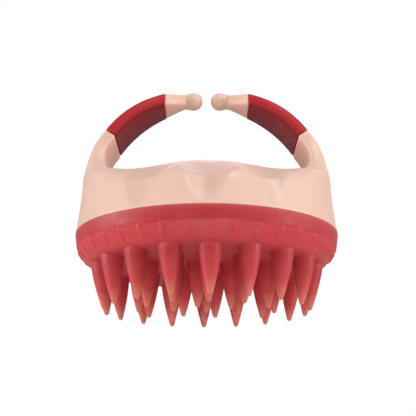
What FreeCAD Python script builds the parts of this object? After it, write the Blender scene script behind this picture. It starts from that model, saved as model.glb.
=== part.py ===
import FreeCAD, Part
import math
import os
import Sketcher

# A hand-held scalp massager: a domed casing with two sprung straps for the hand, over a soft pad of bristles.
# Millimetres, +Z up, the origin in the plane of the bristle tips under the middle, the front towards -Y.

SIZES = {
    # bristles
    "bristle_length": 15.0,
    "tip_flat_radius": 0.5,
    "root_radius": 3.4,
    "bristle_arc": 62.0,
    "outer_ring_radius": 33.9,
    "middle_ring_radius": 22.4,
    "inner_ring_radius": 11.2,
    "ring_turn": 1.8,
    "inner_ring_turn": 15.0,
    # pad
    "pad_thickness": 2.3,
    "underside_radius": 38.0,
    "chamfer_radius": 42.9,
    "chamfer_top": 18.8,
    "wall_foot_radius": 43.4,
    "wall_foot": 21.0,
    "rim_radius": 44.0,
    "rim_top": 25.5,
    "rim_wall": 2.8,
    "inner_bevel": 2.7,
    "lip_thickness": 1.5,
    "lip_radius": 38.0,
    "rib_width": 1.3,
    "rib_rise": 0.3,
    # base plate
    "plate_thickness": 2.2,
    "plate_gap": 0.1,
    "plate_wall": 2.1,
    "plate_boss_radius": 4.0,
    "plate_boss_rise": 2.0,
    # screws
    "screw_circle": 27.0,
    "screw_radius": 1.3,
    "screw_length": 12.0,
    "screw_head_radius": 2.6,
    "screw_head_thickness": 1.6,
    # casing
    "shell_foot_radius": 43.7,
    "shell_waist_radius": 42.3,
    "shell_waist": 37.0,
    "brow_radius": 38.5,
    "brow": 40.0,
    "shell_top": 47.6,
    "shell_wall": 4.4,
    "dome_wall": 2.4,
    "spigot_radius": 37.7,
    "spigot_wall": 1.5,
    "spigot_depth": 4.0,
    "shelf_thickness": 1.6,
    "shell_boss_radius": 3.5,
    "seal_section": 0.6,
    # finger grooves
    "groove_radius": 9.0,
    "groove_reach": 47.9,
    "groove_height": 37.5,
    "groove_tilt": 26.0,
    "groove_spacing": 27.5,
    # shoulders and their sockets
    "shoulder_foot": 34.0,
    "shoulder_top": 47.8,
    "shoulder_foot_reach": 35.6,
    "shoulder_top_reach": 37.0,
    "shoulder_width": 8.6,
    "shoulder_foot_depth": 34.0,
    "shoulder_top_depth": 27.0,
    "pivot_reach": 36.9,
    "pivot_height": 45.0,
    "barrel_radius": 2.8,
    "barrel_depth": 20.0,
    "socket_gap": 0.3,
    "mouth_inner": 2.9,
    "mouth_outer": 3.0,
    # arms
    "arm_radius": 34.6,
    "arm_centre_reach": 3.6,
    "arm_centre_height": 40.2,
    "arm_thickness": 3.6,
    "arm_root_depth": 22.0,
    "root_lean": 12.8,
    "strap_bend_start": 63.0,
    "neck_slope": 9.0,
    "neck_tip_slope": 3.0,
    "knob_slope": 1.8,
    "sleeve_start": 56.0,
    "sleeve_end": 18.4,
    "sleeve_wall": 0.9,
    "sleeve_rise": 0.35,
    "sleeve_foot_depth": 23.0,
    "sleeve_tip_depth": 14.6,
    "neck_depth": 6.2,
    "neck_tip_depth": 5.2,
    "knob_radius": 3.05,
}

FRONT = 270.0
BACK = 90.0
OUTER_COUNT = 18
MIDDLE_COUNT = 12
INNER_COUNT = 6
RIB_COUNT = 36
SCREW_COUNT = 4

doc = FreeCAD.newDocument("ScalpMassager")


class Size:
    """A length or angle from the sheet, together with the formula that gives it."""

    def __init__(self, value, formula):
        self.value = float(value)
        self.formula = formula

    def joined(self, other, sign, value):
        """The size that a sum, difference, product or quotient of two sizes gives."""
        formula = other.formula if isinstance(other, Size) else repr(float(other))
        return Size(value, "(%s %s %s)" % (self.formula, sign, formula))

    def __add__(self, other):
        return self.joined(other, "+", self.value + number(other))

    def __sub__(self, other):
        return self.joined(other, "-", self.value - number(other))

    def __mul__(self, other):
        return self.joined(other, "*", self.value * number(other))

    def __truediv__(self, other):
        return self.joined(other, "/", self.value / number(other))

    def __neg__(self):
        return self * -1.0


def number(size):
    """The plain number of a size or of a number."""
    return size.value if isinstance(size, Size) else float(size)


def sine(angle):
    return Size(math.sin(math.radians(angle.value)), "sin(%s)" % angle.formula)


def cosine(angle):
    return Size(math.cos(math.radians(angle.value)), "cos(%s)" % angle.formula)


def make_sheet():
    """The spreadsheet of driving dimensions; each cell has its name as alias."""
    sheet = doc.addObject("Spreadsheet::Sheet", "Sizes")
    for row, (name, value) in enumerate(SIZES.items(), start=1):
        sheet.set("A%d" % row, name)
        sheet.set("B%d" % row, str(value))
        sheet.setAlias("B%d" % row, name)
    doc.recompute()
    return sheet


SHEET = make_sheet()


def size(name):
    """The size with that name in the sheet."""
    return Size(SHEET.get(name), "Sizes.%s" % name)


def bind(thing, prop, value):
    """Ties a property to the sheet."""
    thing.setExpression(prop, value.formula)


def make_body(name):
    body = doc.addObject("PartDesign::Body", name)
    body.Label = name
    return body


def origin_feature(body, role):
    return next(part for part in body.Origin.OriginFeatures if part.Role == role)


def make_sketch(body, name, plane, reach=None, height=None, turn=None):
    """A sketch on an origin plane, moved by reach and height and turned about the plane's own second axis."""
    sketch = body.newObject("Sketcher::SketchObject", name)
    sketch.AttachmentSupport = (origin_feature(body, plane), [""])
    sketch.MapMode = "FlatFace"
    if turn is not None:
        sketch.AttachmentOffset = FreeCAD.Placement(
            FreeCAD.Vector(number(reach), 0, number(height)),
            FreeCAD.Rotation(FreeCAD.Vector(0, 1, 0), number(turn)),
        )
        bind(sketch, "AttachmentOffset.Base.x", reach)
        bind(sketch, "AttachmentOffset.Base.z", height)
        bind(sketch, "AttachmentOffset.Rotation.Angle", turn)
    return sketch


def pin_point(sketch, geometry, end, x, y):
    """Fixes one end of a line or arc at a pair of sizes; a zero keeps it on the axis."""
    for value, kind, axis in ((x, "DistanceX", -2), (y, "DistanceY", -1)):
        if number(value) == 0.0:
            sketch.addConstraint(Sketcher.Constraint("PointOnObject", geometry, end, axis))
        else:
            index = sketch.addConstraint(Sketcher.Constraint(kind, -1, 1, geometry, end, number(value)))
            if isinstance(value, Size):
                sketch.setExpression("Constraints[%d]" % index, value.formula)


def arc_centre(start, finish, radius, side):
    """The centre of the arc of that radius between two points, to the left (1) or right (-1) of the way."""
    middle = (start + finish) * 0.5
    chord = finish - start
    across = FreeCAD.Vector(-chord.y, chord.x, 0).normalize()
    return middle + across * (side * math.sqrt(radius ** 2 - (chord.Length / 2) ** 2))


def draw_outline(sketch, corners, arcs=None):
    """A closed outline through corners; arcs gives, for a side's number, its radius and its centre's side."""
    arcs = arcs or {}
    points = [FreeCAD.Vector(number(x), number(y), 0) for x, y in corners]
    ends = {}
    count = len(points)
    for i, point in enumerate(points):
        following = points[(i + 1) % count]
        if i in arcs:
            radius, side = arcs[i]
            centre = arc_centre(point, following, number(radius), side)
            first, last = (point, following) if side > 0 else (following, point)
            start = math.atan2(first.y - centre.y, first.x - centre.x)
            stop = math.atan2(last.y - centre.y, last.x - centre.x)
            circle = Part.Circle(centre, FreeCAD.Vector(0, 0, 1), number(radius))
            geometry = sketch.addGeometry(Part.ArcOfCircle(circle, start, stop))
            ends[i] = (geometry, 1, 2) if side > 0 else (geometry, 2, 1)
        else:
            geometry = sketch.addGeometry(Part.LineSegment(point, following))
            ends[i] = (geometry, 1, 2)
    for i, (x, y) in enumerate(corners):
        pin_point(sketch, ends[i][0], ends[i][1], x, y)
        before = ends[(i - 1) % count]
        sketch.addConstraint(Sketcher.Constraint("Coincident", before[0], before[2], ends[i][0], ends[i][1]))
    for i, (radius, _) in arcs.items():
        index = sketch.addConstraint(Sketcher.Constraint("Radius", ends[i][0], number(radius)))
        sketch.setExpression("Constraints[%d]" % index, radius.formula)


def draw_rectangle(sketch, width, height):
    """A rectangle about the sketch's origin."""
    right = width / 2
    top = height / 2
    draw_outline(sketch, [(-right, -top), (right, -top), (right, top), (-right, top)])


def draw_circle(sketch, radius, x=0.0, y=0.0):
    circle = Part.Circle(FreeCAD.Vector(number(x), number(y), 0), FreeCAD.Vector(0, 0, 1), number(radius))
    geometry = sketch.addGeometry(circle)
    pin_point(sketch, geometry, 3, x, y)
    index = sketch.addConstraint(Sketcher.Constraint("Radius", geometry, number(radius)))
    sketch.setExpression("Constraints[%d]" % index, radius.formula)


def revolve(body, sketch, name="Turned"):
    """The sketch turned once about its own upright axis."""
    feature = body.newObject("PartDesign::Revolution", name)
    feature.Profile = sketch
    feature.ReferenceAxis = (sketch, ["V_Axis"])
    feature.Angle = 360.0
    body.Tip = feature
    return feature


def polar_pattern(body, original, count, name="Ring"):
    """Copies of a feature round the upright axis of the body."""
    pattern = body.newObject("PartDesign::PolarPattern", name)
    pattern.Originals = [original]
    pattern.Axis = (origin_feature(body, "Z_Axis"), [""])
    pattern.Angle = 360.0
    pattern.Occurrences = count
    body.Tip = pattern
    return pattern


# ---------------------------------------------------------------- bristles


def make_bristles(name, ring_radius, count, turn):
    """A ring of upright cone bristles with slightly bulging sides and a small flat at each tip."""
    body = make_body(name)
    body.AllowCompound = True
    tip = size("tip_flat_radius")
    length = size("bristle_length")
    sketch = make_sketch(body, "Half" + name, "XZ_Plane")
    root = size("root_radius")
    if count > 1:
        sketch.AttachmentOffset = FreeCAD.Placement(
            FreeCAD.Vector(number(ring_radius), 0, 0), FreeCAD.Rotation()
        )
        bind(sketch, "AttachmentOffset.Base.x", ring_radius)
    corners = [(0.0, 0.0), (tip, 0.0), (root, length), (0.0, length)]
    draw_outline(sketch, corners, {1: (size("bristle_arc"), 1)})
    bristle = revolve(body, sketch)
    if count > 1:
        polar_pattern(body, bristle, count)
    body.Placement = FreeCAD.Placement(FreeCAD.Vector(), FreeCAD.Rotation(FreeCAD.Vector(0, 0, 1), turn))
    return body


# ---------------------------------------------------------------- pad, plate, seal and screws


def make_pad():
    """The soft pad: a flat underside, a chamfer with ribs, a wall and a lip turned in over the plate."""
    body = make_body("bristle_pad")
    under = size("bristle_length")
    inner = size("rim_radius") - size("rim_wall")
    floor = under + size("pad_thickness")
    sketch = make_sketch(body, "PadSection", "XZ_Plane")
    corners = [
        (0.0, under),
        (size("underside_radius"), under),
        (size("chamfer_radius"), size("chamfer_top")),
        (size("wall_foot_radius"), size("wall_foot")),
        (size("rim_radius"), size("rim_top") - 0.8),
        (size("shell_foot_radius"), size("rim_top")),
        (size("lip_radius"), size("rim_top")),
        (size("lip_radius"), size("rim_top") - size("lip_thickness")),
        (inner, size("rim_top") - size("lip_thickness")),
        (inner, floor + size("inner_bevel")),
        (inner - size("inner_bevel"), floor),
        (0.0, floor),
    ]
    draw_outline(sketch, corners)
    revolve(body, sketch, "PadTurned")
    rib_sketch = make_sketch(body, "RibSection", "XZ_Plane")
    rise = size("rib_rise")
    rib_foot = size("underside_radius") + 1.2
    rib_top = size("wall_foot") - 0.5
    rib_corners = [
        (rib_foot, under + 0.6),
        (size("chamfer_radius") + rise, size("chamfer_top") - rise / 2),
        (size("wall_foot_radius") + rise, rib_top),
        (size("wall_foot_radius") - 1.0, rib_top),
        (rib_foot, under + 1.8),
    ]
    draw_outline(rib_sketch, rib_corners)
    rib = body.newObject("PartDesign::Pad", "Rib")
    rib.Profile = rib_sketch
    rib.Midplane = True
    bind(rib, "Length", size("rib_width"))
    body.Tip = rib
    polar_pattern(body, rib, RIB_COUNT, "Ribs")
    return body


def make_plate():
    """The tray inside the pad, with a raised boss round each screw."""
    body = make_body("base_plate")
    outer = size("rim_radius") - size("rim_wall") - size("plate_gap")
    foot = size("bristle_length") + size("pad_thickness") + size("plate_gap")
    floor = foot + size("plate_thickness")
    top = size("rim_top") - size("lip_thickness") - size("plate_gap")
    sketch = make_sketch(body, "PlateSection", "XZ_Plane")
    inner = outer - size("plate_wall")
    bevel = size("inner_bevel")
    corners = [
        (0.0, foot),
        (outer - bevel, foot),
        (outer, foot + bevel),
        (outer, top),
        (inner, top),
        (inner, floor),
        (0.0, floor),
    ]
    draw_outline(sketch, corners)
    revolve(body, sketch, "PlateTurned")
    boss = make_post(body, "PlateBoss", size("plate_boss_radius"), floor - 0.5, size("plate_boss_rise") + 0.5)
    polar_pattern(body, boss, SCREW_COUNT, "PlateBosses")
    head = cut_post(body, "HeadRecess", size("screw_head_radius"), foot, size("screw_head_thickness"))
    polar_pattern(body, head, SCREW_COUNT, "HeadRecesses")
    hole = cut_post(body, "ScrewHole", size("screw_radius"), foot, size("plate_thickness") + 3.0)
    polar_pattern(body, hole, SCREW_COUNT, "ScrewHoles")
    return body


def raised_sketch(body, name, radius, height):
    """A circle on the screws' circle, at that height."""
    sketch = body.newObject("Sketcher::SketchObject", name + "Circle")
    sketch.AttachmentSupport = (origin_feature(body, "XY_Plane"), [""])
    sketch.MapMode = "FlatFace"
    bind(sketch, "AttachmentOffset.Base.z", height)
    offset = FreeCAD.Vector(0, 0, number(height))
    sketch.AttachmentOffset = FreeCAD.Placement(offset, FreeCAD.Rotation())
    across = size("screw_circle") * math.sqrt(0.5)
    draw_circle(sketch, radius, across, across)
    return sketch


def make_post(body, name, radius, height, length):
    feature = body.newObject("PartDesign::Pad", name)
    feature.Profile = raised_sketch(body, name, radius, height)
    bind(feature, "Length", length)
    body.Tip = feature
    return feature


def cut_post(body, name, radius, height, length):
    """An upright hole from that height upwards."""
    feature = body.newObject("PartDesign::Pocket", name)
    feature.Profile = raised_sketch(body, name, radius, height)
    feature.Reversed = True
    bind(feature, "Length", length)
    body.Tip = feature
    return feature


def make_seal():
    """The round-section ring between the casing's spigot and the plate's wall."""
    seal = doc.addObject("Part::Torus", "seal_ring")
    seal.Label = "seal_ring"
    plate_inner = size("rim_radius") - size("rim_wall") - size("plate_gap") - size("plate_wall")
    bind(seal, "Radius1", (plate_inner + size("spigot_radius")) / 2)
    bind(seal, "Radius2", size("seal_section"))
    bind(seal, "Placement.Base.z", size("rim_top") - size("spigot_depth") / 2 - 0.8)
    return seal


def make_screws():
    """The four screws: heads flush under the plate, shanks in the casing's bosses."""
    body = make_body("plate_screws")
    body.AllowCompound = True
    foot = size("bristle_length") + size("pad_thickness") + size("plate_gap")
    sketch = make_sketch(body, "ScrewSection", "XZ_Plane")
    reach = FreeCAD.Vector(SIZES["screw_circle"], 0, 0)
    sketch.AttachmentOffset = FreeCAD.Placement(reach, FreeCAD.Rotation())
    bind(sketch, "AttachmentOffset.Base.x", size("screw_circle"))
    head = foot + size("screw_head_thickness")
    top = foot + size("screw_length")
    corners = [
        (0.0, foot),
        (size("screw_head_radius"), foot),
        (size("screw_head_radius"), head),
        (size("screw_radius"), head),
        (size("screw_radius"), top),
        (0.0, top),
    ]
    draw_outline(sketch, corners)
    screw = revolve(body, sketch)
    polar_pattern(body, screw, SCREW_COUNT)
    body.Placement = FreeCAD.Placement(FreeCAD.Vector(), FreeCAD.Rotation(FreeCAD.Vector(0, 0, 1), 45))
    return body


# ---------------------------------------------------------------- casing


def dome_radius(reach, rise):
    """The radius of the arc that rises by that much over that reach and is level in the middle."""
    return (reach * reach + rise * rise) / (rise * 2)


def make_casing_wall(body):
    """The hollow dome with its foot, shelf and spigot."""
    sketch = make_sketch(body, "ShellSection", "XZ_Plane")
    foot = size("rim_top")
    shelf = foot + size("shelf_thickness")
    spigot_inner = size("spigot_radius") - size("spigot_wall")
    ceiling = size("shell_top") - size("dome_wall")
    hollow_radius = size("brow_radius") - size("shell_wall") + 2.0
    hollow_brow = size("brow") - size("dome_wall") - 2.0
    corners = [
        (0.0, size("shell_top")),
        (size("brow_radius"), size("brow")),
        (size("shell_waist_radius") - 0.6, size("shell_waist") + 0.6),
        (size("shell_waist_radius"), size("shell_waist") - 2.0),
        (size("shell_foot_radius"), foot),
        (size("spigot_radius"), foot),
        (size("spigot_radius"), foot - size("spigot_depth")),
        (spigot_inner, foot - size("spigot_depth")),
        (spigot_inner, shelf),
        (size("shell_foot_radius") - size("shell_wall"), shelf),
        (hollow_radius, hollow_brow),
        (0.0, ceiling),
    ]
    arcs = {
        0: (dome_radius(size("brow_radius"), size("shell_top") - size("brow")), -1),
        10: (dome_radius(hollow_radius, ceiling - hollow_brow), 1),
    }
    draw_outline(sketch, corners, arcs)
    revolve(body, sketch, "Wall")


def add_shoulders(body):
    """The two raised blocks that the arms grow from."""
    for side in (-1.0, 1.0):
        name = "Left" if side < 0 else "Right"
        foot = shoulder_section(body, side, name, "foot")
        top = shoulder_section(body, side, name, "top")
        loft = body.newObject("PartDesign::AdditiveLoft", name + "Shoulder")
        loft.Profile = foot
        loft.Sections = [top]
        loft.Ruled = True
        body.Tip = loft


def shoulder_section(body, side, name, level):
    """A rectangle across the shoulder at its foot or its top."""
    height = size("shoulder_" + level)
    sketch = body.newObject("Sketcher::SketchObject", name + "Shoulder_" + level)
    sketch.AttachmentSupport = (origin_feature(body, "XY_Plane"), [""])
    sketch.MapMode = "FlatFace"
    reach = size("shoulder_%s_reach" % level) * side
    sketch.AttachmentOffset = FreeCAD.Placement(
        FreeCAD.Vector(number(reach), 0, number(height)), FreeCAD.Rotation()
    )
    bind(sketch, "AttachmentOffset.Base.x", reach)
    bind(sketch, "AttachmentOffset.Base.z", height)
    draw_rectangle(sketch, size("shoulder_width"), size("shoulder_%s_depth" % level))
    return sketch


def cut_sockets(body):
    """The barrel-shaped socket and the mouth that each arm swings in."""
    gap = size("socket_gap")
    depth = size("barrel_depth") + gap * 6
    top = size("shoulder_top") + 1.0
    for side in (-1.0, 1.0):
        name = "Left" if side < 0 else "Right"
        reach = size("pivot_reach") * side
        barrel = make_sketch(body, name + "SocketCircle", "XZ_Plane")
        draw_circle(barrel, size("barrel_radius") + gap, reach, size("pivot_height"))
        cut_midplane(body, name + "Socket", barrel, depth)
        mouth = make_sketch(body, name + "MouthSection", "XZ_Plane")
        inner = reach - size("mouth_inner") * side
        outer = reach + size("mouth_outer") * side
        corners = [
            (inner, size("pivot_height")),
            (outer, size("pivot_height")),
            (outer, top),
            (inner, top),
        ]
        draw_outline(mouth, corners)
        cut_midplane(body, name + "Mouth", mouth, depth)


def cut_midplane(body, name, sketch, length):
    feature = body.newObject("PartDesign::Pocket", name)
    feature.Profile = sketch
    feature.Midplane = True
    bind(feature, "Length", length)
    body.Tip = feature


def cut_grooves(body):
    """Three finger grooves in the front wall and three in the back: leaning round cuts that run out below."""
    for number_of, heading in enumerate([FRONT, BACK]):
        for step in (-1, 0, 1):
            turn = heading + step * SIZES["groove_spacing"]
            name = "Groove%d%d" % (number_of, step + 1)
            cut_groove(body, name, turn)


def cut_groove(body, name, turn):
    """One round cut whose axis leans outwards going down."""
    groove = body.newObject("PartDesign::SubtractiveCylinder", name)
    bind(groove, "Radius", size("groove_radius"))
    length = 60.0
    groove.Height = length
    around = FreeCAD.Rotation(FreeCAD.Vector(0, 0, 1), turn)
    lean = FreeCAD.Rotation(FreeCAD.Vector(0, 1, 0), -SIZES["groove_tilt"])
    rotation = around.multiply(lean)
    middle = around.multVec(FreeCAD.Vector(SIZES["groove_reach"], 0, SIZES["groove_height"]))
    start = middle - rotation.multVec(FreeCAD.Vector(0, 0, length / 2))
    groove.Placement = FreeCAD.Placement(start, rotation)
    body.Tip = groove


def make_casing():
    """The casing: hollow dome, shoulders with sockets, finger grooves and screw bosses."""
    body = make_body("top_shell")
    make_casing_wall(body)
    add_shoulders(body)
    cut_sockets(body)
    cut_grooves(body)
    foot = size("bristle_length") + size("pad_thickness") + size("plate_gap")
    seat = foot + size("plate_thickness") + size("plate_boss_rise")
    roof = size("brow") + 2.0
    boss = make_post(body, "ShellBoss", size("shell_boss_radius"), seat, roof - seat)
    polar_pattern(body, boss, SCREW_COUNT, "ShellBosses")
    hole = cut_post(body, "BossHole", size("screw_radius"), seat, foot + size("screw_length") - seat + 0.5)
    polar_pattern(body, hole, SCREW_COUNT, "BossHoles")
    return body


# ---------------------------------------------------------------- arms and sleeves


def arm_point(side, angle):
    """Where the arm's middle line runs at that slope from level, and how its section is turned."""
    reach = (size("arm_centre_reach") + size("arm_radius") * sine(angle)) * side
    height = size("arm_centre_height") + size("arm_radius") * cosine(angle)
    turn = (angle - 90.0) * side
    return reach, height, turn


def arm_section(body, name, place, thickness, depth):
    """A rectangle square to the arm's middle line."""
    reach, height, turn = place
    sketch = make_sketch(body, name, "XY_Plane", reach, height, turn)
    draw_rectangle(sketch, thickness, depth)
    return sketch


def loft_through(body, name, sections, kind="PartDesign::AdditiveLoft"):
    loft = body.newObject(kind, name)
    loft.Profile = sections[0]
    loft.Sections = sections[1:]
    body.Tip = loft
    return loft


def sleeve_stations():
    """Angles along the sleeve from its foot to its tip, with the sleeve's outer depth at each."""
    start = size("sleeve_start")
    end = size("sleeve_end")
    deep = size("sleeve_foot_depth")
    slim = size("sleeve_tip_depth")
    stations = []
    steps = 4
    for step in range(steps + 1):
        share = step / steps
        angle = start + (end - start) * share
        stations.append((angle, deep + (slim - deep) * share ** 1.6))
    return stations


def make_arm(name, side):
    """The arm: a barrel at its root, the strap, the slim core inside the sleeve, the neck and the knob."""
    body = make_body(name)
    thickness = size("arm_thickness")
    barrel = make_sketch(body, name + "BarrelCircle", "XZ_Plane")
    reach = size("pivot_reach") * side
    draw_circle(barrel, size("barrel_radius"), reach, size("pivot_height"))
    feature = body.newObject("PartDesign::Pad", "Barrel")
    feature.Profile = barrel
    feature.Midplane = True
    bind(feature, "Length", size("barrel_depth"))
    body.Tip = feature
    stations = sleeve_stations()
    root_place = (reach, size("pivot_height"), -size("root_lean") * side)
    high_place = arm_point(side, size("strap_bend_start"))
    root = arm_section(body, name + "Root", root_place, thickness, size("barrel_depth"))
    high = arm_section(body, name + "High", high_place, thickness, size("arm_root_depth"))
    foot = arm_section(body, name + "Foot", arm_point(side, stations[0][0]), thickness, stations[0][1] - 0.6)
    loft_through(body, "LowerStrap", [root, high, foot])
    slim = thickness + size("sleeve_rise") * 2 - size("sleeve_wall") * 2
    core = []
    for i, (angle, depth) in enumerate(stations):
        place = arm_point(side, angle)
        core.append(arm_section(body, "%sCore%d" % (name, i), place, slim, depth - size("sleeve_wall") * 2))
    loft_through(body, "Core", core)
    tip_angle, tip_depth = stations[-1]
    neck_places = [
        (tip_angle, tip_depth - 0.6),
        (size("neck_slope"), size("neck_depth")),
        (size("neck_tip_slope"), size("neck_tip_depth")),
    ]
    neck = []
    for i, (angle, depth) in enumerate(neck_places):
        neck.append(arm_section(body, "%sNeck%d" % (name, i), arm_point(side, angle), thickness, depth))
    loft_through(body, "Neck", neck)
    knob = body.newObject("PartDesign::AdditiveSphere", "Knob")
    bind(knob, "Radius", size("knob_radius"))
    knob_reach, knob_height, _ = arm_point(side, size("knob_slope"))
    knob.Placement = FreeCAD.Placement(
        FreeCAD.Vector(number(knob_reach), 0, number(knob_height)), FreeCAD.Rotation()
    )
    body.Tip = knob
    return body


def make_sleeve(name, side):
    """The soft sleeve: a curved tube of oblong section that hugs the arm's core."""
    body = make_body(name)
    thickness = size("arm_thickness") + size("sleeve_rise") * 2
    hug = 0.02
    outer = []
    inner = []
    for i, (angle, depth) in enumerate(sleeve_stations()):
        place = arm_point(side, angle)
        outer.append(arm_section(body, "%sOuter%d" % (name, i), place, thickness, depth))
    loft_through(body, "Skin", outer)
    wall = size("sleeve_wall") * 2
    for i, (angle, depth) in enumerate(sleeve_stations()):
        place = arm_point(side, angle)
        bore = (thickness - wall + hug, depth - wall + hug)
        inner.append(arm_section(body, "%sInner%d" % (name, i), place, *bore))
    loft_through(body, "Bore", inner, "PartDesign::SubtractiveLoft")
    return body


# ---------------------------------------------------------------- the whole brush


def check_objects():
    """Stops on any object that failed to compute."""
    for thing in doc.Objects:
        failed = [word for word in thing.State if word in ("Invalid", "Error")]
        if failed:
            raise RuntimeError("%s is %s" % (thing.Label, failed))


def export(parts):
    """Writes each piece's shape to a file of its own."""
    os.makedirs("parts", exist_ok=True)
    for part in parts:
        shape = part.Shape
        if shape.isNull() or not shape.isValid():
            raise RuntimeError("%s has no valid shape" % part.Label)
    for part in parts:
        box = part.Shape.BoundBox
        print(
            "%-20s solids %2d volume %9.1f z %.2f..%.2f x %.2f..%.2f y %.2f..%.2f"
            % (part.Label, len(part.Shape.Solids), part.Shape.Volume, box.ZMin, box.ZMax,
               box.XMin, box.XMax, box.YMin, box.YMax)
        )
        part.Shape.exportStep("parts/%s.step" % part.Label)


def build():
    ring_turn = 90.0 + SIZES["ring_turn"]
    inner_turn = 90.0 - SIZES["inner_ring_turn"]
    parts = [
        make_bristles("outer_bristles", size("outer_ring_radius"), OUTER_COUNT, ring_turn),
        make_bristles("middle_bristles", size("middle_ring_radius"), MIDDLE_COUNT, ring_turn),
        make_bristles("inner_bristles", size("inner_ring_radius"), INNER_COUNT, inner_turn),
        make_bristles("centre_bristle", size("inner_ring_radius"), 1, 0.0),
        make_pad(),
        make_plate(),
        make_seal(),
        make_screws(),
        make_casing(),
        make_arm("arm_left", -1.0),
        make_arm("arm_right", 1.0),
        make_sleeve("grip_sleeve_left", -1.0),
        make_sleeve("grip_sleeve_right", 1.0),
    ]
    doc.recompute()
    check_objects()
    export(parts)


build()
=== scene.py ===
"""Scalp massager brush: a palm-held casing with two sprung finger arms, over a soft pad of tapered bristles.

The classes hold their sizes in millimetres, measured from the plane of the bristle tips. A mesh is
turned to metres when it becomes a piece.
"""

import logging
import math
from collections.abc import Callable, Iterable, Sequence
from dataclasses import dataclass, field
from enum import Enum

import bmesh
import bpy
from mathutils import Matrix, Vector


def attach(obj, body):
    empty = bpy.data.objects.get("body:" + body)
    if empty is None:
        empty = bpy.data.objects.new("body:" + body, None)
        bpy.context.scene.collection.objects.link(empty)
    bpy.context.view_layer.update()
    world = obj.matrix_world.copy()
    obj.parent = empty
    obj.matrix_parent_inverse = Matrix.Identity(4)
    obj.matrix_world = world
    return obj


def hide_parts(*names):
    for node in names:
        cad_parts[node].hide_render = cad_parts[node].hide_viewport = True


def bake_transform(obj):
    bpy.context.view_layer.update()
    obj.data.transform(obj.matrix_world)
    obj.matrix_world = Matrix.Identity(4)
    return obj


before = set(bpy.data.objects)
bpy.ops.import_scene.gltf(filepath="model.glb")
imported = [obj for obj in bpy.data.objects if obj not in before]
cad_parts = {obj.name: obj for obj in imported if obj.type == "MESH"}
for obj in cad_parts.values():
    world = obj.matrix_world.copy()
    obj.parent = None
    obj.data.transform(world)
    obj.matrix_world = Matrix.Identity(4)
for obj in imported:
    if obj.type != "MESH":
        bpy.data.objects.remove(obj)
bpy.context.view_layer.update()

LOG = logging.getLogger("scalp_massager")
MM = 0.001
Profile = Sequence[tuple[float, float]]
BMesh = bmesh.types.BMesh
Vert = bmesh.types.BMVert
Edge = bmesh.types.BMEdge
Face = bmesh.types.BMFace
Socket = bpy.types.NodeSocket


class Side(Enum):
    """The two arms, by the sign of their X."""

    LEFT = -1
    RIGHT = 1

    @property
    def word(self) -> str:
        """The side's name in piece and body names."""
        return self.name.lower()

    @property
    def mark(self) -> int:
        """The material index of this arm's faces while the skin is still whole; the casing's is 0."""
        return 1 if self is Side.RIGHT else 2


class Hidden(Enum):
    """How the open edge of a skin is closed where it can't be seen."""

    PLUG = 0.6
    RECESS = 1.1


# ---------------------------------------------------------------- shared helpers


def to_linear(code: str) -> tuple[float, float, float, float]:
    """Turns an sRGB hex colour to linear.

    Args:
        code: six hex digits, such as "E8C4B8".

    Returns:
        Linear red, green and blue, and an alpha of 1.
    """
    parts = [int(code[i : i + 2], 16) / 255 for i in (0, 2, 4)]
    red, green, blue = (p / 12.92 if p <= 0.04045 else ((p + 0.055) / 1.055) ** 2.4 for p in parts)
    return red, green, blue, 1.0


def ease(value: float, low: float, high: float) -> float:
    """Rises smoothly from 0 at low to 1 at high.

    Args:
        value: where it is asked.
        low: where the rise starts.
        high: where the rise ends.

    Returns:
        A share from 0 to 1.
    """
    share = min(1.0, max(0.0, (value - low) / (high - low)))
    return share * share * (3 - 2 * share)


def add_node(
    tree: bpy.types.NodeTree,
    kind: str,
    settings: dict[str, object] | None = None,
    values: dict[str | int, object] | None = None,
    links: dict[str | int, Socket] | None = None,
) -> bpy.types.Node:
    """Adds a node to a tree, sets it up and links its inputs.

    Args:
        tree: the material's or world's node tree.
        kind: the node's type name.
        settings: the node's own properties.
        values: values for its unlinked inputs, by name or index.
        links: the output that feeds each linked input.

    Returns:
        The new node.
    """
    node = tree.nodes.new(kind)
    for name, value in (settings or {}).items():
        setattr(node, name, value)
    for name, value in (values or {}).items():
        node.inputs[name].default_value = value
    for name, socket in (links or {}).items():
        tree.links.new(socket, node.inputs[name])
    return node


def spin_profile(profile: Profile, steps: int) -> BMesh:
    """Turns a half section about the Z axis.

    Args:
        profile: reach and height of each point of the section.
        steps: how many columns go round.

    Returns:
        The turned mesh, with its seam and poles merged and its faces pointing outwards.
    """
    bm = bmesh.new()
    verts = [bm.verts.new((reach, 0.0, height)) for reach, height in profile]
    outline = verts + [bm.edges.new(pair) for pair in zip(verts, verts[1:])]
    middle, upright = Vector((0, 0, 0)), Vector((0, 0, 1))
    bmesh.ops.spin(bm, geom=outline, cent=middle, axis=upright, angle=math.tau, steps=steps, use_merge=True)
    bmesh.ops.remove_doubles(bm, verts=bm.verts, dist=1e-4)
    bmesh.ops.recalc_face_normals(bm, faces=bm.faces)
    return bm


def subdivided(bm: BMesh, levels: int) -> BMesh:
    """Applies a subdivision surface to a cage.

    Args:
        bm: the cage, which is freed.
        levels: how many times each face is split.

    Returns:
        The smooth mesh.
    """
    mesh = bpy.data.meshes.new("cage")
    bm.to_mesh(mesh)
    bm.free()
    cage = bpy.data.objects.new("cage", mesh)
    bpy.context.scene.collection.objects.link(cage)
    surface = cage.modifiers.new("surface", "SUBSURF")
    surface.levels = surface.render_levels = levels
    view = bpy.context.evaluated_depsgraph_get()
    smooth = bpy.data.meshes.new_from_object(cage.evaluated_get(view))
    fine = bmesh.new()
    fine.from_mesh(smooth)
    bpy.data.objects.remove(cage)
    bpy.data.meshes.remove(mesh)
    bpy.data.meshes.remove(smooth)
    return fine


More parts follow.
